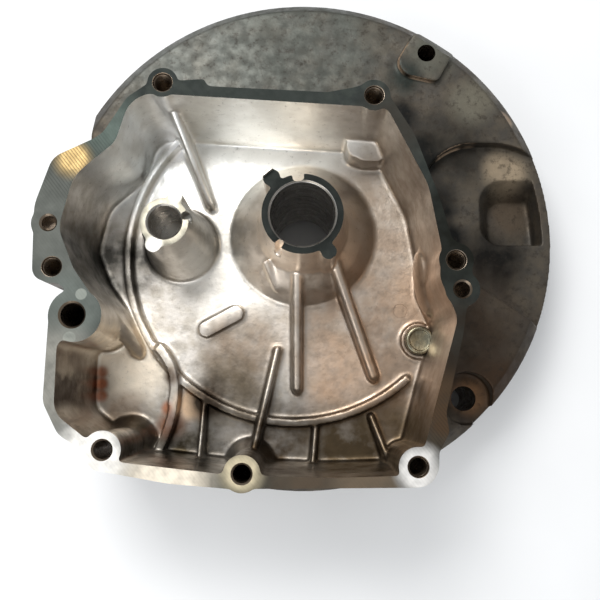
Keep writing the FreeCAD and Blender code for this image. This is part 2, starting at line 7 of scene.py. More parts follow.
import bmesh
import bpy
import numpy as np
from bpy.props import FloatProperty, FloatVectorProperty, IntProperty, PointerProperty
from mathutils import Matrix, Vector
from mathutils.bvhtree import BVHTree


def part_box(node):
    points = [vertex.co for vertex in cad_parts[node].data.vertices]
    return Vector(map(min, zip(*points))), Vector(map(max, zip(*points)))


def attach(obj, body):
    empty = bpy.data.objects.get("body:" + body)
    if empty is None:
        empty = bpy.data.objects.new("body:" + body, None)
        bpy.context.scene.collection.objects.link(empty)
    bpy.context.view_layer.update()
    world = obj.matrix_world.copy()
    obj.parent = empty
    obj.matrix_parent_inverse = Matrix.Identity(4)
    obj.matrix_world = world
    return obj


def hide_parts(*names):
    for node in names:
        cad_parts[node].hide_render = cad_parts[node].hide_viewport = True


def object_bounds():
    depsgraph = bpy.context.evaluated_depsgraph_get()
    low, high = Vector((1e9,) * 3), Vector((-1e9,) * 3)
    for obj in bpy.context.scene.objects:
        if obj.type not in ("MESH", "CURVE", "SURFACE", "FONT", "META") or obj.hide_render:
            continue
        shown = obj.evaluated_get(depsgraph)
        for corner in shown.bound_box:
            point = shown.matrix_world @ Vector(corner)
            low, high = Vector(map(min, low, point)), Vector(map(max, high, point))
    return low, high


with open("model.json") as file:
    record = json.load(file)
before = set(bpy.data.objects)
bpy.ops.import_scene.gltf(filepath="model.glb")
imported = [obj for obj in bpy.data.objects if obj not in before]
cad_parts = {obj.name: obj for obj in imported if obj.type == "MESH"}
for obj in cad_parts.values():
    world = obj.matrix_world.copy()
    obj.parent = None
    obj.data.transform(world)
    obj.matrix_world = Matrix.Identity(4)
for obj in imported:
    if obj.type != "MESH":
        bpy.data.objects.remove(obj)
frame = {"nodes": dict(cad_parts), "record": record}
CAD_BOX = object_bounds()

bl_info = {
    "name": "Clutch housing looks",
    "version": (1, 0, 0),
    "blender": (4, 5, 0),
    "location": "View3D > Sidebar > Housing",
    "description": "Builds the cast housing, its plug and its stage round the packed CAD model",
    "category": "Object",
}

MM = 0.001
HOUSING = "housing"
PLUG = "blanking_plug"
BODY = "root"
HOUSING_LOW, HOUSING_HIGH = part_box(HOUSING)
JOINT_Z = HOUSING_HIGH.z             # machined joint face
MOUTH_Z = HOUSING_LOW.z              # machined engine face
TRAY_LOW_Z = 55 * MM                 # the tray's own faces all lie above this
MOUNTS = {mount["name"]: mount for mount in frame["record"]["mounts"]}

LEVEL = 0.01 * MM                    # two heights closer than this are the same
TIGHT = 0.02 * MM                    # the same for faces that have been through a cut
OUT_OF_ROUND = 0.15 * MM             # an outline within this of a circle is a hole
STOCK = 3.0 * MM                     # metal left on a face for machining
BOSS_FACE = 13 * MM                  # how far the facing cutter reaches past a bored hole
BOSS_LOBES = 34 * MM                 # how far the lobes of a boss reach from its axis
THREAD_PITCH = 1.5 * MM
THREAD_LEAST = 5 * MM                # blind holes with a larger radius than this are tapped
FEED_ANGLE = math.radians(-38)
FEED_SCALE = 190.0                   # scale of the wave that gives milling marks 1.65 mm apart
# Where the milling marks show most: x, y, inner and outer radius in millimetres.
SCORED_SPOTS = [(-138, 30, 12, 34), (78, -122, 6, 26)]

EJECTOR_MARK = (65.9 * MM, -52.1 * MM, 4.6 * MM)    # x, y and radius on the tray floor
EJECTOR_SINK = 0.3 * MM
WITNESS_MARKS = [(-128.3, -51.2, 3.6), (-134.0, -76.7, 4.0)]    # x, y and radius in millimetres
# Painted highlights on the steep edges of the terrace and of the small bolt pad: x, y and radius in
# millimetres.
LIT_STEP_EDGES = [(100, 62, 12), (115, 74, 12), (128, 79, 10), (139, 80, 9), (74, 126, 14), (84, 116, 12)]

PAD_ANGLE = math.radians(56)         # where the small bolt pad stands on the bell
PAD_LEAN = [(170.5, 59.5), (163.7, 66.3), (160.0, 73.0)]    # radius and height, in millimetres
PAD_HALF_LENGTH = 26 * MM
SWELLING_CENTRE = Vector((79.5, -36.0, 76.0)) * MM
SWELLING_REACH = Vector((6.0, 22.0, 16.0)) * MM
SWELLING_TURN = math.radians(8)

CAMERA_X = 0.233 * MM
CAMERA_Y = -113.04 * MM
CAMERA_TILT = math.radians(8.29)     # back from straight down
CAMERA_PAN = math.radians(0.25)      # a little to one side

# face is the height of a hole's mouth. side is above 0 where the mouth looks up and below 0
# where it looks down; it is 1 or -1 for a blind hole, and 2 or -2 for one that goes through.
Hole = namedtuple("Hole", "x y radius low high face side")


# ------------------------------------------------------------------ properties
class HousingCastingLooks(bpy.types.PropertyGroup):
    """Sizes and colours of the cast housing."""
    grain: FloatProperty(
        name="Skin cell", description="Edge of the cells that the cast skin is formed from",
        default=0.85 * MM, min=0.4 * MM, max=3 * MM, unit="LENGTH", precision=5,
    )
    blend_passes: IntProperty(
        name="Fillet passes", description="How often the inner corners of the casting are eased",
        default=26, min=0, max=80,
    )
    round_passes: IntProperty(
        name="Edge passes", description="How often the outer edges of the casting are eased",
        default=4, min=0, max=30,
    )
    face_count: IntProperty(
        name="Faces", description="Triangles kept in the cast skin",
        default=168000, min=20000, max=190000,
    )
    chamfer: FloatProperty(
        name="Chamfer", description="Width of the chamfer at the mouth of each drilled hole",
        default=1.1 * MM, min=0.0, max=3 * MM, unit="LENGTH", precision=5,
    )
    tray_colour: FloatVectorProperty(
        name="Tray", description="Clean cast metal inside the gear tray",
        subtype="COLOR", default=(0.62, 0.58, 0.53), min=0, max=1,
    )
    bell_colour: FloatVectorProperty(
        name="Bell", description="Sooty cast metal of the bell",
        subtype="COLOR", default=(0.06, 0.053, 0.044), min=0, max=1,
    )
    # the joint face's dark colour is partly dried sealant and partly a painted dark reflection
    machined_colour: FloatVectorProperty(
        name="Joint face", description="Machined joint face with dried sealant",
        subtype="COLOR", default=(0.018, 0.022, 0.02), min=0, max=1,
    )
    bore_colour: FloatVectorProperty(
        name="Bores", description="Bright drilled and bored metal",
        subtype="COLOR", default=(0.6, 0.58, 0.55), min=0, max=1,
    )


class HousingPlugLooks(bpy.types.PropertyGroup):
    """Sizes and colours of the pressed-in plug."""
    rim_round: FloatProperty(
        name="Rim round", description="Radius of the drawn corner of the plug",
        default=1.5 * MM, min=0.2 * MM, max=2.5 * MM, unit="LENGTH", precision=5,
    )
    dish: FloatProperty(
        name="Dish", description="How far the middle of the plug lies below its rim",
        default=0.8 * MM, min=0.0, max=2 * MM, unit="LENGTH", precision=5,
    )
    colour: FloatVectorProperty(
        name="Steel", description="Stained steel of the plug",
        subtype="COLOR", default=(0.2, 0.19, 0.14), min=0, max=1,
    )


class HousingStageLooks(bpy.types.PropertyGroup):
    """Floor, lamps and camera."""
    floor_colour: FloatVectorProperty(
        name="Floor", description="Pale floor",
        subtype="COLOR", default=(0.86, 0.86, 0.86), min=0, max=1,
    )
    key_power: FloatProperty(
        name="Key lamp", description="Power of the large lamp over the tray",
        default=7.0, min=0.0, unit="POWER",
    )
    world_strength: FloatProperty(
        name="Surroundings", description="Strength of the even light from all round",
        default=0.62, min=0.0,
    )
    camera_height: FloatProperty(
        name="Camera height", description="Height of the camera above the engine face",
        default=0.53, min=0.3, unit="LENGTH",
    )


# ---------------------------------------------------------------- mesh helpers
def new_object(name, mesh):
    """A scene object for a mesh."""
    obj = bpy.data.objects.new(name, mesh)
    bpy.context.scene.collection.objects.link(obj)
    return obj


def mesh_from(bm, name):
    """Turn a bmesh into a mesh and free it."""
    mesh = bpy.data.meshes.new(name)
    bm.normal_update()
    bm.to_mesh(mesh)
    bm.free()
    return mesh


def settle(obj):
    """Apply an object's modifiers."""
    bpy.context.view_layer.update()
    depsgraph = bpy.context.evaluated_depsgraph_get()
    mesh = bpy.data.meshes.new_from_object(obj.evaluated_get(depsgraph), depsgraph=depsgraph)
    old = obj.data
    obj.modifiers.clear()
    obj.data = mesh
    bpy.data.meshes.remove(old)


def discard(obj):
    """Remove a helper object and its mesh."""
    mesh = obj.data
    bpy.data.objects.remove(obj)
    bpy.data.meshes.remove(mesh)


def welded(node):
    """A bmesh of a CAD node with its shared corners joined."""
    bm = bmesh.new()
    bm.from_mesh(frame["nodes"][node].data)
    bmesh.ops.remove_doubles(bm, verts=bm.verts, dist=0.001 * MM)
    bm.normal_update()
    bm.faces.ensure_lookup_table()
    return bm


def add_turned(bm, profile, x, y, segments):
    """Add a closed body of revolution, given by (radius, z) points from axis to axis."""
    angles = [2 * math.pi * step / segments for step in range(segments)]
    ways = [(math.cos(angle), math.sin(angle)) for angle in angles]
    rings = []
    for radius, z in profile:
        if radius < LEVEL:
            rings.append([bm.verts.new((x, y, z))])
        else:
            rings.append([bm.verts.new((x + radius * way_x, y + radius * way_y, z)) for way_x, way_y in ways])
    for lower, upper in zip(rings, rings[1:]):
        for step in range(segments):
            after = (step + 1) % segments
            corners = [lower[step % len(lower)], lower[after % len(lower)],
                       upper[after % len(upper)], upper[step % len(upper)]]
            unique = list(dict.fromkeys(corners))
            if len(unique) > 2:
                bm.faces.new(unique)


def level_faces(bm, z, up):
    """Faces that lie flat at a height, facing up or down."""
    sense = 1 if up else -1
    return [
        face for face in bm.faces
        if face.normal.z * sense > 0.999 and abs(face.calc_center_median().z - z) < LEVEL
    ]


def outlines(faces):
    """Closed outlines round a set of faces, as lists of corners."""
    inside = set(faces)
    beside = {}
    for face in faces:
        for edge in face.edges:
            if sum(other in inside for other in edge.link_faces) == 1:
                for here, there in (edge.verts, reversed(edge.verts)):
                    beside.setdefault(here, []).append(there)
    loops = []
    while beside:
        start = next(iter(beside))
        loop = [start]
        here = beside.pop(start)[0]
        while here is not start:
            loop.append(here)
            ways = beside.pop(here)
            here = ways[0] if ways[0] is not loop[-2] else ways[-1]
        loops.append([vert.co.copy() for vert in loop])
    return loops


def as_circle(loop):
    """Centre and radius of an outline if it is round, otherwise nothing."""
    points = np.array([point[:2] for point in loop])
    middle = (points.min(0) + points.max(0)) / 2
    reach = np.linalg.norm(points - middle, axis=1)
    if len(loop) < 12 or reach.max() - reach.min() > OUT_OF_ROUND:
        return None
    return middle[0], middle[1], reach.max()


def probe(tree, x, y, radius, start_z, sense):
    """Height where rays beside a hole, all round it, first meet metal; the middle of what they find."""
    found = []
    first_angle = 0.2
    for angle in np.arange(8) * math.pi / 4 + first_angle:
        origin = Vector((x + radius * math.cos(angle), y + radius * math.sin(angle), start_z))
        hit = tree.ray_cast(origin, Vector((0, 0, sense)))[0]
        if hit is not None:
            found.append(hit.z)
    return sorted(found)[len(found) // 2]


# --------------------------------------------------------------- drilled holes
def drilled_holes(bm, tree):
    """Every round hole that opens on the joint face or on the engine face."""
    beside = 1.2 * MM
    holes = []
    for face_z, side in ((JOINT_Z, 1), (MOUTH_Z, -1)):
        for loop in outlines(level_faces(bm, face_z, side > 0)):
            circle = as_circle(loop)
            if circle is None:
                continue
            x, y, radius = circle
            end = tree.ray_cast(Vector((x, y, face_z + side * MM)), Vector((0, 0, -side)))[0]
            if end is not None:
                far = end.z
            elif side > 0:
                far = probe(tree, x, y, radius + beside, MOUTH_Z - MM, 1)
            else:
                far = probe(tree, x, y, radius + beside, JOINT_Z + MM, -1)
            kind = side if end is not None else 2 * side
            holes.append(Hole(x, y, radius, min(far, face_z), max(far, face_z), face_z, kind))
    return holes


def bored_holes(tree):
    """The main bore and the countershaft bore, which open on their own bosses."""
    beside = 2.5 * MM
    holes = []
    for name in ("main_bore", "countershaft_bore"):
        mount = MOUNTS[name]
        x, y, _ = mount["pos_m"]
        radius = mount["dims"]["r_mm"] * MM
        high = probe(tree, x, y, radius + beside, JOINT_Z + MM, -1)
        low = high - mount["dims"]["length_mm"] * MM
        floor = tree.ray_cast(Vector((x, y, JOINT_Z)), Vector((0, 0, -1)))[0]
        holes.append(Hole(x, y, radius, low, high, high, 1 if floor is not None else 2))
    return holes


def hole_cutter(bm, hole, chamfer):
    """Drill body with a chamfered mouth; it runs on past the far end of a through hole."""
    sense = 1 if hole.side > 0 else -1
    near = hole.face
    far = hole.low if sense > 0 else hole.high
    if abs(hole.side) == 2:
        far -= sense * 2 * STOCK
    past = near + sense * (STOCK + MM)
    profile = [
        (0, far),
        (hole.radius, far),
        (hole.radius, near - sense * chamfer),
        (hole.radius + chamfer + STOCK + MM, past),
        (0, past),
    ]
    add_turned(bm, profile, hole.x, hole.y, 96)


def hole_filling(bm, hole):
    """Metal that stands in a hole until it is drilled."""
    sense = 1 if hole.side > 0 else -1
    near = hole.face + sense * STOCK
    far = hole.low if sense > 0 else hole.high
    if abs(hole.side) == 1:
        far -= sense * MM
    overlap = 0.6 * MM
    radius = hole.radius + overlap
    add_turned(bm, [(0, far), (radius, far), (radius, near), (0, near)], hole.x, hole.y, 48)


def stock_on(bm, faces, rise):
    """Thicken flat faces by a machining allowance that is rooted a little way into the metal."""
    step = Vector((0, 0, rise))
    root = step * 0.3
    for face in faces:
        base = [vert.co.copy() for vert in face.verts]
        low = [bm.verts.new(point - root) for point in base]
        high = [bm.verts.new(point + step) for point in base]
        bm.faces.new(low[::-1])
        bm.faces.new(high)
        for index in range(len(base)):
            after = (index + 1) % len(base)
            bm.faces.new([low[index], low[after], high[after], high[index]])


def block_cutter(bm, low, high):
    """Box-shaped cutter."""
    matrix = Matrix.Translation((low + high) / 2) @ Matrix.Diagonal(Vector((*(high - low), 1.0)))
    bmesh.ops.create_cube(bm, size=1.0, matrix=matrix)


def pad_trimmer(bm):
    """Wedge that leans the outer face of the small bolt pad in line with the shoulder."""
    out = Vector((math.cos(PAD_ANGLE), math.sin(PAD_ANGLE), 0))
    along = Vector((-out.y, out.x, 0)) * PAD_HALF_LENGTH
    section = [out * radius * MM + Vector((0, 0, z * MM)) for radius, z in PAD_LEAN]
    beyond = out * 40 * MM
    section += [section[-1] + beyond, section[0] + beyond]
    ends = [[bm.verts.new(point + along * sense) for point in section] for sense in (-1, 1)]
    bm.faces.new(ends[0])
    bm.faces.new(ends[1][::-1])
    for index in range(len(section)):
        after = (index + 1) % len(section)
        bm.faces.new([ends[0][index], ends[1][index], ends[1][after], ends[0][after]])


def wall_swelling(bm):
    """Long low swelling on the right-hand wall of the tray."""
    turn = Matrix.Rotation(SWELLING_TURN, 4, "Z")
    matrix = Matrix.Translation(SWELLING_CENTRE) @ turn @ Matrix.Diagonal((*SWELLING_REACH, 1.0))
    bmesh.ops.create_uvsphere(bm, u_segments=32, v_segments=16, radius=1.0, matrix=matrix)


def raw_casting(bm, holes, bosses):
    """The metal before machining: stock on the faces to be milled, and every hole still filled."""
    raised = level_faces(bm, JOINT_Z, True)
    for boss in bosses:
        raised += level_faces(bm, boss.high, True)
    lowered = level_faces(bm, MOUTH_Z, False)
    stock_on(bm, raised, STOCK)
    stock_on(bm, lowered, -STOCK)
    for hole in holes:
        hole_filling(bm, hole)
    wall_swelling(bm)
    bmesh.ops.triangulate(bm, faces=bm.faces)
    return mesh_from(bm, "raw_casting")


def facing_cutter(bosses):
    """What the mills take off: above the joint face, below the mouth, over both bosses and off the pad."""
    bm = bmesh.new()
    margin = Vector((20 * MM, 20 * MM, 0))
    low = CAD_BOX[0] - margin
    high = CAD_BOX[1] + margin
    depth = 4 * STOCK
    block_cutter(bm, Vector((*low.xy, JOINT_Z)), Vector((*high.xy, JOINT_Z + depth)))
    block_cutter(bm, Vector((*low.xy, MOUTH_Z - depth)), Vector((*high.xy, MOUTH_Z)))
    for boss in bosses:
        top = min(boss.high + 2 * STOCK, JOINT_Z - 0.5 * MM)
        reach = boss.radius + BOSS_FACE
        profile = [(0, boss.high), (reach, boss.high), (reach, top), (0, top)]
        add_turned(bm, profile, boss.x, boss.y, 64)
    pad_trimmer(bm)
    bmesh.ops.recalc_face_normals(bm, faces=bm.faces)
    return mesh_from(bm, "facing_cutter")


def drill_cutter(holes, tree, chamfer):
    """A drill for every hole, and the shallow print that the ejector pin leaves in the tray floor."""
    bm = bmesh.new()
    for hole in holes:
        hole_cutter(bm, hole, chamfer)
    x, y, radius = EJECTOR_MARK
    floor_z = tree.ray_cast(Vector((x, y, JOINT_Z)), Vector((0, 0, -1)))[0].z
    mark = Hole(x, y, radius, floor_z - EJECTOR_SINK, floor_z, floor_z, 1)
    hole_cutter(bm, mark, EJECTOR_SINK / 2)
    bmesh.ops.recalc_face_normals(bm, faces=bm.faces)
    return mesh_from(bm, "drill_cutter")


# -------------------------------------------------------------------- the skin
def concave_weights(mesh):
    """How strongly each point of a mesh lies in an inner corner, from 0 to 1."""
    count = len(mesh.vertices)
    points = np.empty(count * 3, np.float32)
    mesh.vertices.foreach_get("co", points)
    points = points.reshape(-1, 3).astype(np.float64)
    normals = np.empty(count * 3, np.float32)
    mesh.vertex_normals.foreach_get("vector", normals)
    normals = normals.reshape(-1, 3)
    edges = np.empty(len(mesh.edges) * 2, np.int64)
    mesh.edges.foreach_get("vertices", edges)
    starts, ends = edges.reshape(-1, 2).T
    degree = np.maximum(np.bincount(starts, minlength=count) + np.bincount(ends, minlength=count), 1)

    def around(values):
        """Mean of the values at each point's neighbours."""
        total = np.stack([
            np.bincount(starts, weights=values[ends, axis], minlength=count)
            + np.bincount(ends, weights=values[starts, axis], minlength=count)
            for axis in range(values.shape[1])
        ], axis=1)
        return total / degree[:, None]

    lift = ((around(points) - points) * normals).sum(1, keepdims=True)
    spread_passes = 5
    for _ in range(spread_passes):
        lift = around(lift)
    full_lift = 0.02 * MM
    return np.clip(lift[:, 0] / full_lift, 0.0, 1.0)


def weight_group(obj, name, weights, steps=8):
    """Vertex group with weights rounded to a few steps."""
    group = obj.vertex_groups.new(name=name)
    level = np.round(weights * steps).astype(int)
    for step in range(1, steps + 1):
        members = np.nonzero(level == step)[0].tolist()
        if members:
            group.add(members, step / steps, "REPLACE")


def cast_skin(looks, raw_mesh):
    """Form one closed skin round the raw metal and ease its corners as a die does."""
    obj = new_object("housing_casting", raw_mesh)
    remesh = obj.modifiers.new("Skin", "REMESH")
    remesh.mode = "VOXEL"
    remesh.voxel_size = looks.grain
    soften = obj.modifiers.new("Soften", "SMOOTH")
    soften.iterations = looks.round_passes
    settle(obj)
    weight_group(obj, "inner_corners", concave_weights(obj.data))
    blend = obj.modifiers.new("Fillets", "SMOOTH")
    blend.iterations = looks.blend_passes
    blend.vertex_group = "inner_corners"
    settle(obj)
    faces = sum(len(polygon.vertices) - 2 for polygon in obj.data.polygons)
    thin = obj.modifiers.new("Thin", "DECIMATE")
    thin.ratio = min(1.0, looks.face_count / faces)
    thin.use_collapse_triangulate = True
    settle(obj)
    return obj


def cut_away(obj, cutter_mesh):
    """Subtract one closed cutter mesh from an object."""
    cutter = new_object("cutter", cutter_mesh)
    cut = obj.modifiers.new("Cut", "BOOLEAN")
    cut.operation = "DIFFERENCE"
    cut.solver = "MANIFOLD"
    cut.object = cutter
    settle(obj)
    discard(cutter)


# ------------------------------------------------------------------- materials
def srgb(red, green, blue):
    """Colour socket value of a colour given from 0 to 255 as it looks on a screen."""
    return tuple((value / 255.0) ** 2.2 for value in (red, green, blue)) + (1.0,)


class Shader:
    """A material's node tree, with short ways to add and join its nodes."""

    def __init__(self, name):
        self.material = bpy.data.materials.new(name)
        self.material.use_nodes = True
        self.tree = self.material.node_tree
        self.surface = self.tree.nodes["Principled BSDF"]
        self.place = self.add("ShaderNodeTexCoord").outputs["Object"]

    def add(self, kind, inputs=None, **settings):
        """New node; inputs maps a socket to a value or to another node's output."""
        node = self.tree.nodes.new(kind)
        for key, value in settings.items():
            setattr(node, key, value)
        for key, value in (inputs or {}).items():
            self.give(node.inputs[key], value)
        return node

    def give(self, socket, value):
        """Set a socket to a value, or join another node's output to it."""
        if isinstance(value, bpy.types.NodeSocket):
            self.tree.links.new(value, socket)
        else:
            socket.default_value = value

    def noise(self, size, detail=4.0, roughness=0.55, stretch=None):
        """Noise whose features are about size across; stretch scales its axes."""
        place = self.place
        if stretch:
            place = self.add("ShaderNodeMapping", {"Vector": place, "Scale": stretch}).outputs[0]
        return self.add("ShaderNodeTexNoise", {
            "Vector": place, "Scale": 1.0 / size, "Detail": detail, "Roughness": roughness,
        }).outputs["Fac"]

    def ramp(self, value, low, high, to_low=0.0, to_high=1.0):
        """Map a value smoothly from one range to another."""
        return self.add("ShaderNodeMapRange", {
            "Value": value, "From Min": low, "From Max": high, "To Min": to_low, "To Max": to_high,
        }, interpolation_type="SMOOTHSTEP").outputs[0]

    def math(self, operation, first, second):
        """Sum, product or other operation on two values."""
        return self.add("ShaderNodeMath", {0: first, 1: second}, operation=operation).outputs[0]

    def mix(self, factor, first, second):
        """Mix two colours."""
        node = self.add("ShaderNodeMix", data_type="RGBA")
        self.give(node.inputs[0], factor)
        self.give(node.inputs[6], first)
        self.give(node.inputs[7], second)
        return node.outputs[2]

    def near(self, x, y, inner, outer):
        """1 close to a vertical axis through x, y (in millimetres), fading to 0 at the outer radius."""
        flat = self.add("ShaderNodeVectorMath", {
            0: self.place, 1: (1, 1, 0),
        }, operation="MULTIPLY").outputs["Vector"]
        away = self.add("ShaderNodeVectorMath", {
            0: flat, 1: (x * MM, y * MM, 0),
        }, operation="DISTANCE").outputs["Value"]
        return self.ramp(away, inner * MM, outer * MM, 1.0, 0.0)

    def upward(self):
        """How far the surface faces up: 1 on level faces, 0 on upright ones, below 0 underneath."""
        normal = self.add("ShaderNodeNewGeometry").outputs["Normal"]
        return self.add("ShaderNodeSeparateXYZ", {"Vector": normal}).outputs["Z"]

    def patches(self, colour, spots):
        """Lay soft patches over a colour: each is x, y, radius in millimetres, a colour and a strength."""
        ragged = self.ramp(self.noise(22 * MM, 5), 0.35, 0.65, 0.72, 1.15)
        for x, y, radius, tint, strength in spots:
            cover = self.math("MULTIPLY", self.near(x, y, radius * 0.35, radius * 1.15), strength)
            cover = self.math("MULTIPLY", cover, ragged)
            colour = self.mix(cover, colour, tint)
        return colour

    def bump(self, value, distance, strength, under=None):
        """Relief of a given depth; under is the normal of coarser relief that it lies on."""
        inputs = {"Height": value, "Distance": distance, "Strength": strength}
        if under is not None:
            inputs["Normal"] = under
        return self.add("ShaderNodeBump", inputs).outputs[0]

    def finish(self, colour, roughness, normal, metallic):
        """Join the parts of the finish to the surface."""
        self.give(self.surface.inputs["Base Color"], colour)
        self.give(self.surface.inputs["Roughness"], roughness)
        self.give(self.surface.inputs["Normal"], normal)
        self.give(self.surface.inputs["Metallic"], metallic)
        return self.material

    def brightness(self, colour):
        """How light a colour is."""
        return self.add("ShaderNodeRGBToBW", {"Color": colour}).outputs[0]


def cast_tray_material(looks):
    """Bright die cast skin, stained brown by old oil towards the sump, with painted highlights on the floor
    and painted shade along the walls.
    """
    nodes = Shader("cast_tray")
    mottle = nodes.ramp(nodes.noise(9 * MM, 6), 0.3, 0.7)
    colour = nodes.mix(mottle, (*looks.tray_colour, 1), srgb(176, 168, 156))
    colour = nodes.patches(colour, [
        # painted highlights on the floor above and beside the bosses
        (-45, 55, 45, srgb(244, 244, 240), 0.9),
        (-110, 44, 40, srgb(228, 230, 228), 0.8),
        (-10, 68, 60, srgb(252, 250, 244), 1.0),
        (-50, -28, 40, srgb(224, 220, 212), 0.8),
        # shade between and below the bosses, and on the left wall
        (-60, 0, 24, srgb(112, 110, 104), 0.85),
        (-41, -78, 34, srgb(138, 122, 106), 0.85),
        (-124, -22, 32, srgb(66, 64, 60), 1.0),
        # right and lower floor, browned by oil
        (60, 15, 60, srgb(134, 120, 106), 0.8),
        (45, -60, 70, srgb(150, 130, 112), 0.85),
        (25, -100, 34, srgb(186, 156, 130), 0.8),
        (70, -125, 40, srgb(120, 98, 76), 0.8),
        (-50, -106, 32, srgb(92, 82, 68), 0.8),
        # side chamber: painted highlight on its floor, painted shade in its corner and on its far wall
        (-120, -90, 34, srgb(255, 240, 218), 1.0),
        (-118, -120, 18, srgb(124, 102, 82), 0.8),
        (-113, -137, 26, srgb(64, 57, 45), 0.9),
        (-150, -104, 26, srgb(62, 50, 40), 0.95),
        # curved rib beside the chamber, and copper stains at the chamber's far wall
        (-86, -96, 8, srgb(96, 80, 66), 0.9),
        (-89, -117, 6, srgb(176, 112, 78), 0.9),
        (-134, -93, 5, srgb(150, 96, 70), 0.8),
        (-134, -101, 5, srgb(160, 96, 66), 0.8),
        (-134, -109, 5, srgb(150, 92, 64), 0.8),
        (-147, -86, 12, srgb(84, 66, 54), 0.9),
        (-86, -128, 12, srgb(128, 84, 60), 0.95),
        (-74, -115, 12, srgb(244, 208, 172), 1.0),
        # painted shade along the lower wall
        (-15, -138, 40, srgb(70, 59, 46), 0.9),
        (32, -142, 38, srgb(82, 70, 54), 0.95),
        (64, -132, 20, srgb(96, 82, 64), 0.9),
        (-62, -111, 18, srgb(58, 50, 42), 1.0),
        (-70, -150, 32, srgb(52, 46, 35), 0.95),
        # main boss and the floor at its foot, with a painted highlight on the boss and its lower-left flank
        (2, 0, 46, srgb(228, 210, 190), 0.85),
        (-16, -22, 26, srgb(250, 236, 220), 0.9),
        (82, -42, 26, srgb(176, 152, 130), 0.8),
        # painted highlight where the upper wall meets the floor
        (-88, 63, 10, srgb(255, 255, 255), 1.0),
    ])
    soot = nodes.ramp(nodes.noise(3.2 * MM, 8, 0.7), 0.56, 0.72)
    colour = nodes.mix(nodes.math("MULTIPLY", soot, 0.35), colour, srgb(74, 62, 50))
    rough = nodes.ramp(nodes.noise(6 * MM, 5), 0.3, 0.7, 0.3, 0.46)
    normal = nodes.bump(nodes.noise(0.9 * MM, 3), 0.05 * MM, 0.6)
    normal = nodes.bump(nodes.noise(7 * MM, 3), 0.35 * MM, 0.5, normal)
    return nodes.finish(colour, rough, normal, 0.9)


def cast_bell_material(looks):
    """Dull dark cast skin of the bell, mottled by soot and oil, with painted shade beside the tray and in the
    terrace, and painted highlights on its step edges.
    """
    nodes = Shader("cast_bell")
    mottle = nodes.ramp(nodes.noise(14 * MM, 7, 0.62), 0.36, 0.64)
    colour = nodes.mix(mottle, (*looks.bell_colour, 1), srgb(84, 77, 67))
    marked = nodes.patches(colour, [
        # greyed top
        (-75, 130, 80, srgb(96, 98, 93), 0.8),
        (5, 140, 70, srgb(76, 78, 73), 0.8),
        # terrace and starter pocket: painted shade beside the terrace and in the pocket, then two lighter
        # patches
        (100, 62, 34, srgb(40, 37, 32), 0.9),
        (129, -16, 30, srgb(20, 18, 15), 1.0),
        (150, 20, 20, srgb(84, 73, 61), 0.9),
        (142, 46, 18, srgb(150, 134, 112), 0.9),
        # painted shade on the bell along the outside of the tray wall
        (98, -4, 18, srgb(14, 14, 12), 1.1),
        (94, 24, 18, srgb(16, 16, 13), 1.1),
        (82, 56, 18, srgb(20, 20, 17), 1.1),
        (66, 82, 18, srgb(18, 18, 16), 1.1),
        # lower right, browned round the large bolt
        (110, -75, 60, srgb(56, 45, 35), 0.8),
        (125, -108, 34, srgb(60, 46, 34), 0.8),
        (112, -110, 14, srgb(112, 84, 60), 1.0),
        # scuffed metal below the small bolt pad, then the pad and the shade beside it
        (118, 94, 20, srgb(104, 100, 88), 0.8),
        (92, 128, 22, srgb(84, 84, 76), 0.9),
        (70, 112, 16, srgb(40, 44, 40), 0.9),
    ])
    # painted highlight on the steep faces at the listed step edges, where the light catches them
    sloping = nodes.ramp(nodes.upward(), 0.6, 0.9, 1, 0)
    away = 1.0
    for x, y, radius in LIT_STEP_EDGES:
        off_step = nodes.math("SUBTRACT", 1.0, nodes.near(x, y, radius * 0.6, radius))
        away = nodes.math("MULTIPLY", away, off_step)
    lit_edges = nodes.math("MULTIPLY", sloping, nodes.math("SUBTRACT", 1.0, away))
    marked = nodes.mix(lit_edges, marked, srgb(170, 146, 122))
    # the clutch space and other undersides keep the plain skin
    colour = nodes.mix(nodes.ramp(nodes.upward(), 0.02, 0.12), colour, marked)
    soot = nodes.ramp(nodes.noise(5 * MM, 9, 0.75), 0.5, 0.66)
    colour = nodes.mix(nodes.math("MULTIPLY", soot, 0.6), colour, srgb(46, 40, 34))
    rough = nodes.ramp(nodes.noise(8 * MM, 5), 0.3, 0.7, 0.42, 0.66)
    normal = nodes.bump(nodes.noise(1.3 * MM, 4, 0.6), 0.1 * MM, 0.7)
    normal = nodes.bump(nodes.noise(11 * MM, 3), 0.5 * MM, 0.5, normal)
    nodes.surface.inputs["Specular IOR Level"].default_value = 0.3
    return nodes.finish(colour, rough, normal, 0.6)


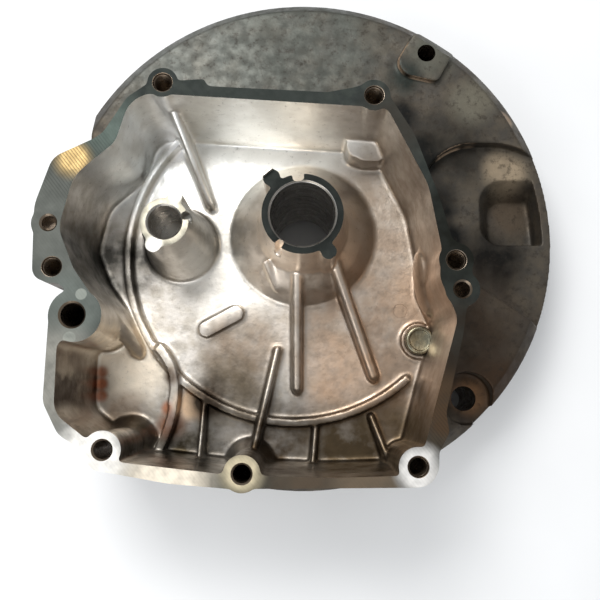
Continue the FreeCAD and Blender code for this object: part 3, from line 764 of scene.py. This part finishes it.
def machined_material(looks):
    """Milled joint face, dark with dried sealant and a painted dark reflection, and bright where it was
    scraped clean.
    """
    nodes = Shader("machined_face")
    turned = nodes.add("ShaderNodeMapping", {
        "Vector": nodes.place, "Rotation": (0, 0, FEED_ANGLE),
    }).outputs["Vector"]
    feed = nodes.add("ShaderNodeTexWave", {
        "Vector": turned, "Scale": FEED_SCALE, "Distortion": 0.4, "Detail": 1.0,
    }, wave_type="BANDS").outputs["Fac"]
    mottle = nodes.ramp(nodes.noise(10 * MM, 6), 0.35, 0.65)
    colour = nodes.mix(mottle, (*looks.machined_colour, 1), srgb(54, 58, 54))
    colour = nodes.patches(colour, [
        # top and right of the joint face, dark with sealant and with a painted dark reflection
        (-30, 74, 60, srgb(46, 50, 47), 0.95),
        (57, 52, 30, srgb(50, 48, 43), 0.9),
        (90, -15, 44, srgb(22, 23, 18), 1.1),
        # left side, partly clean
        (-118, 52, 26, srgb(84, 94, 88), 0.9),
        (-142, -10, 50, srgb(92, 94, 89), 1.0),
        (-137, 30, 13, srgb(150, 128, 88), 1.1),
        (-134, -58, 26, srgb(96, 101, 96), 1.0),
        (-144, -100, 36, srgb(142, 140, 132), 1.0),
        # lower right, dark with oil
        (90, -85, 36, srgb(40, 34, 27), 1.0),
        (80, -118, 26, srgb(66, 52, 38), 1.0),
        # lower left, scraped bright
        (-118, -144, 26, srgb(248, 244, 236), 1.2),
        (-75, -157, 30, srgb(240, 228, 208), 1.1),
        (-34, -152, 14, srgb(214, 200, 168), 1.0),
        # stained stretch at the bottom, then the bright corner
        (0, -160, 28, srgb(76, 66, 55), 1.0),
        (36, -160, 24, srgb(96, 84, 70), 1.0),
        (65, -150, 15, srgb(250, 246, 240), 1.2),
        # main boss, countershaft boss and its two lobes
        (0, 0, 34, srgb(26, 28, 26), 1.2),
        (-82, -7, 20, srgb(164, 158, 142), 1.2),
        (-76, 9, 5, srgb(215, 212, 205), 1.1),
        (-88, -21, 6, srgb(220, 218, 212), 1.1),
    ])
    for x, y, radius in WITNESS_MARKS:
        mark = nodes.math("MULTIPLY", nodes.near(x, y, radius - 0.6, radius), 0.3)
        colour = nodes.mix(mark, colour, srgb(176, 180, 170))
    scored = 0.0
    for x, y, inner, outer in SCORED_SPOTS:
        scored = nodes.math("MAXIMUM", scored, nodes.near(x, y, inner, outer))
    streak = nodes.math("MULTIPLY", nodes.ramp(feed, 0.5, 0.95), nodes.ramp(scored, 0, 1, 0.05, 0.3))
    colour = nodes.mix(streak, colour, srgb(30, 27, 24))
    bare = nodes.ramp(nodes.brightness(colour), 0.02, 0.3)
    uneven = nodes.ramp(nodes.noise(4 * MM, 4), 0.3, 0.7, -0.08, 0.08)
    rough = nodes.math("ADD", uneven, nodes.ramp(bare, 0, 1, 0.7, 0.38))
    normal = nodes.bump(feed, 0.012 * MM, nodes.ramp(scored, 0, 1, 0.15, 0.7))
    nodes.surface.inputs["Specular IOR Level"].default_value = 0.15
    return nodes.finish(colour, rough, normal, nodes.ramp(bare, 0, 1, 0.1, 0.85))


def bore_material(looks, drilled):
    """Bright turned metal with fine rings; the bolt holes are oily, and the blind ones are tapped."""
    nodes = Shader("bored_metal")
    rings = nodes.noise(1.0 * MM, 2, 0.5, (0.03, 0.03, 3.0))
    colour = nodes.mix(nodes.ramp(rings, 0.3, 0.7), (*looks.bore_colour, 1), srgb(120, 112, 100))
    thread = nodes.add("ShaderNodeTexWave", {
        "Vector": nodes.place, "Scale": math.pi / 10 / THREAD_PITCH,
    }, wave_type="BANDS", bands_direction="Z").outputs["Fac"]
    oily = 0.0
    tapped = 0.0
    for hole in drilled:
        reach = hole.radius / MM + 1
        cover = nodes.near(hole.x / MM, hole.y / MM, reach, reach + 1)
        oily = nodes.math("MAXIMUM", oily, cover)
        if abs(hole.side) == 1 and hole.radius > THREAD_LEAST:
            tapped = nodes.math("MAXIMUM", tapped, cover)
    colour = nodes.mix(nodes.math("MULTIPLY", oily, 0.85), colour, srgb(104, 88, 70))
    rough = nodes.ramp(nodes.noise(5 * MM), 0.3, 0.7, 0.22, 0.38)
    normal = nodes.bump(rings, 0.02 * MM, 0.8)
    normal = nodes.bump(nodes.math("MULTIPLY", thread, tapped), 0.6 * MM, 0.9, normal)
    return nodes.finish(colour, rough, normal, 0.95)


def plug_material(looks):
    """Drawn steel, stained olive and scratched."""
    nodes = Shader("plug_steel")
    scratches = nodes.noise(1.6 * MM, 4, 0.6, (1.0, 0.5, 1.0))
    mottle = nodes.ramp(nodes.noise(5 * MM, 5), 0.35, 0.65)
    colour = nodes.mix(mottle, (*looks.colour, 1), srgb(138, 130, 108))
    colour = nodes.mix(nodes.ramp(scratches, 0.6, 0.75, 0, 0.45), colour, srgb(206, 198, 176))
    rough = nodes.ramp(scratches, 0.4, 0.7, 0.22, 0.4)
    return nodes.finish(colour, rough, nodes.bump(scratches, 0.03 * MM, 0.6), 0.95)


def floor_material(looks):
    """Plain pale floor that the camera sees close to white."""
    nodes = Shader("pale_floor")
    mottle = nodes.ramp(nodes.noise(0.2, 3), 0.3, 0.7)
    colour = nodes.mix(mottle, (*looks.floor_colour, 1), (0.82, 0.82, 0.82, 1))
    normal = nodes.bump(nodes.noise(2 * MM), 0.01 * MM, 0.2)
    return nodes.finish(colour, 0.9, normal, 0.0)


# --------------------------------------------------------------- face finishes
def inside_outline(points, outline):
    """Whether each x, y point lies inside a closed outline."""
    inside = np.zeros(len(points), bool)
    count = len(outline)
    for index in range(count):
        ax, ay = outline[index][:2]
        bx, by = outline[(index + 1) % count][:2]
        if ay == by:
            continue
        crosses = (points[:, 1] < ay) != (points[:, 1] < by)
        at = ax + (points[:, 1] - ay) * (bx - ax) / (by - ay)
        inside ^= crosses & (points[:, 0] < at)
    return inside


def sort_finishes(mesh, pocket, holes, bosses):
    """Give each face of the casting its finish: tray, bell, machined or bored."""
    count = len(mesh.polygons)
    centres = np.empty(count * 3, np.float32)
    mesh.polygons.foreach_get("center", centres)
    centres = centres.reshape(-1, 3)
    normals = np.empty(count * 3, np.float32)
    mesh.polygons.foreach_get("normal", normals)
    normals = normals.reshape(-1, 3)
    tray, bell, machined, bored = range(4)
    finish = np.full(count, bell)
    in_front = centres + normals * 1.5 * MM
    finish[inside_outline(in_front, pocket) & (centres[:, 2] > TRAY_LOW_Z)] = tray
    level = 0.9
    faces_up = normals[:, 2] > level
    faces_down = normals[:, 2] < -level
    finish[(abs(centres[:, 2] - JOINT_Z) < TIGHT) & faces_up] = machined
    finish[(abs(centres[:, 2] - MOUTH_Z) < TIGHT) & faces_down] = machined
    for hole in bosses:
        away = np.hypot(centres[:, 0] - hole.x, centres[:, 1] - hole.y)
        top = (abs(centres[:, 2] - hole.high) < TIGHT) & faces_up
        finish[top & (away < BOSS_LOBES)] = machined
    mouth_rim = 1.3 * MM
    for hole in holes:
        dx = centres[:, 0] - hole.x
        dy = centres[:, 1] - hole.y
        away = np.hypot(dx, dy)
        facing = (normals[:, 0] * dx + normals[:, 1] * dy) <= 0.0
        in_span = (centres[:, 2] > hole.low - MM) & (centres[:, 2] < hole.high + MM)
        flat = (abs(centres[:, 2] - hole.face) < TIGHT) & (abs(normals[:, 2]) > level)
        wall = abs(normals[:, 2]) < level
        bottom = away < hole.radius - MM
        close = away < hole.radius + mouth_rim
        finish[close & facing & in_span & ~flat & (wall | bottom)] = bored
    mesh.polygons.foreach_set("material_index", finish.astype(np.int32))
    mesh.update()


class HousingBuildCasting(bpy.types.Operator):
    """Form the cast skin, machine its faces and holes, and give it its finishes"""
    bl_idname = "housing.build_casting"
    bl_label = "Casting"

    def execute(self, context):
        looks = context.scene.housing_casting_looks
        bm = welded(HOUSING)
        tree = BVHTree.FromBMesh(bm)
        drilled = drilled_holes(bm, tree)
        bosses = bored_holes(tree)
        holes = drilled + bosses
        loops = [loop for loop in outlines(level_faces(bm, JOINT_Z, True)) if as_circle(loop) is None]
        pocket = min(loops, key=lambda loop: np.ptp([point.x for point in loop]))
        casting = cast_skin(looks, raw_casting(bm, holes, bosses))
        cut_away(casting, facing_cutter(bosses))
        cut_away(casting, drill_cutter(holes, tree, looks.chamfer))
        casting.data.materials.clear()
        for material in (cast_tray_material(looks), cast_bell_material(looks),
                         machined_material(looks), bore_material(looks, drilled)):
            casting.data.materials.append(material)
        sort_finishes(casting.data, pocket, holes, bosses)
        casting.data.shade_smooth()
        casting.data.set_sharp_from_angle(angle=math.radians(38))
        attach(casting, BODY)
        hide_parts(HOUSING)
        return {"FINISHED"}


def cup_profile(outer, low_z, top_z, looks):
    """Half section of the plug: under its top, down the inside, up the outside, over the rim to the dish."""
    wall = 1.6 * MM
    flat_rim = 0.6 * MM
    dish_slope = 1.1 * MM
    corner = looks.rim_round
    profile = [
        (0, top_z - looks.dish - wall),
        (outer - wall, top_z - corner - wall),
        (outer - wall, low_z),
        (outer, low_z),
    ]
    for step in range(9):
        angle = math.pi / 2 * step / 8
        across = outer - corner + corner * math.cos(angle)
        profile.append((across, top_z - corner + corner * math.sin(angle)))
    dish_edge = outer - corner - flat_rim
    for step in range(7):
        share = step / 6
        sunk = looks.dish * (1 - math.cos(math.pi * share)) / 2
        profile.append((dish_edge - share * dish_slope, top_z - sunk))
    profile.append((0, top_z - looks.dish))
    return profile


class HousingBuildPlug(bpy.types.Operator):
    """Turn the pressed-in steel plug with its rounded, dished top"""
    bl_idname = "housing.build_plug"
    bl_label = "Plug"

    def execute(self, context):
        looks = context.scene.housing_plug_looks
        low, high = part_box(PLUG)
        x = (low.x + high.x) / 2
        y = (low.y + high.y) / 2
        outer = (high.x - low.x) / 2
        bm = bmesh.new()
        add_turned(bm, cup_profile(outer, low.z, high.z, looks), x, y, 128)
        bmesh.ops.recalc_face_normals(bm, faces=bm.faces)
        plug = new_object("plug_cup", mesh_from(bm, "plug_cup"))
        plug.data.shade_smooth()
        plug.data.set_sharp_from_angle(angle=math.radians(40))
        plug.data.materials.append(plug_material(looks))
        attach(plug, BODY)
        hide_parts(PLUG)
        return {"FINISHED"}


# ----------------------------------------------------------------------- stage
def area_lamp(name, place, target, size, power):
    """Soft square lamp aimed at a point."""
    data = bpy.data.lights.new(name, "AREA")
    data.shape = "SQUARE"
    data.size = size
    data.energy = power
    lamp = bpy.data.objects.new(name, data)
    bpy.context.scene.collection.objects.link(lamp)
    lamp.location = place
    lamp.rotation_mode = "QUATERNION"
    lamp.rotation_quaternion = (Vector(target) - Vector(place)).to_track_quat("-Z", "Y")


class HousingBuildStage(bpy.types.Operator):
    """Lay the pale floor and set up the lamps, the surroundings and the camera"""
    bl_idname = "housing.build_stage"
    bl_label = "Stage"

    def execute(self, context):
        looks = context.scene.housing_stage_looks
        bm = bmesh.new()
        level = Matrix.Translation((0, 0, MOUTH_Z))
        bmesh.ops.create_grid(bm, x_segments=4, y_segments=4, size=2.0, matrix=level)
        floor = new_object("floor", mesh_from(bm, "floor"))
        floor.data.materials.append(floor_material(looks))

        area_lamp("key_lamp", place=(-0.2, 0.42, 0.85), target=(-0.02, 0.0, 0.06),
                  size=0.45, power=looks.key_power)
        area_lamp("fill_lamp", place=(-0.35, -0.6, 0.6), target=(0.0, -0.02, 0.08),
                  size=0.7, power=looks.key_power * 0.5)

        world = bpy.data.worlds.new("surroundings")
        world.use_nodes = True
        background = world.node_tree.nodes["Background"]
        background.inputs["Color"].default_value = (0.9, 0.93, 0.96, 1)
        background.inputs["Strength"].default_value = looks.world_strength
        context.scene.world = world

        data = bpy.data.cameras.new("camera")
        data.sensor_width = 36.0
        data.lens = 42.0
        camera = bpy.data.objects.new("camera", data)
        context.scene.collection.objects.link(camera)
        camera.location = (CAMERA_X, CAMERA_Y, looks.camera_height)
        camera.rotation_euler = (CAMERA_TILT, CAMERA_PAN, 0)
        context.scene.camera = camera
        context.scene.view_settings.view_transform = "Standard"
        return {"FINISHED"}


class HousingPanel(bpy.types.Panel):
    """Lists the steps and sizes of the housing"""
    bl_idname = "VIEW3D_PT_housing"
    bl_label = "Clutch housing"
    bl_space_type = "VIEW_3D"
    bl_region_type = "UI"
    bl_category = "Housing"

    def draw(self, context):
        """One button for each step, then the values of each group."""
        layout = self.layout
        for operator in OPERATORS:
            layout.operator(operator.bl_idname)
        for group in GROUPS:
            box = layout.box()
            settings = getattr(context.scene, GROUPS[group])
            for name in group.__annotations__:
                box.prop(settings, name)


OPERATORS = (HousingBuildCasting, HousingBuildPlug, HousingBuildStage)
GROUPS = {
    HousingCastingLooks: "housing_casting_looks",
    HousingPlugLooks: "housing_plug_looks",
    HousingStageLooks: "housing_stage_looks",
}


def register():
    """Add the classes, and one group of values for each to the scene."""
    for cls in (*GROUPS, *OPERATORS, HousingPanel):
        bpy.utils.register_class(cls)
    for group, name in GROUPS.items():
        setattr(bpy.types.Scene, name, PointerProperty(type=group))


def unregister():
    """Take them out again, last one first."""
    for name in GROUPS.values():
        delattr(bpy.types.Scene, name)
    for cls in reversed((*GROUPS, *OPERATORS, HousingPanel)):
        bpy.utils.unregister_class(cls)


def main():
    """Build the housing, its plug and the stage."""
    register()
    bpy.ops.housing.build_casting()
    bpy.ops.housing.build_plug()
    bpy.ops.housing.build_stage()


if __name__ == "__main__":
    main()
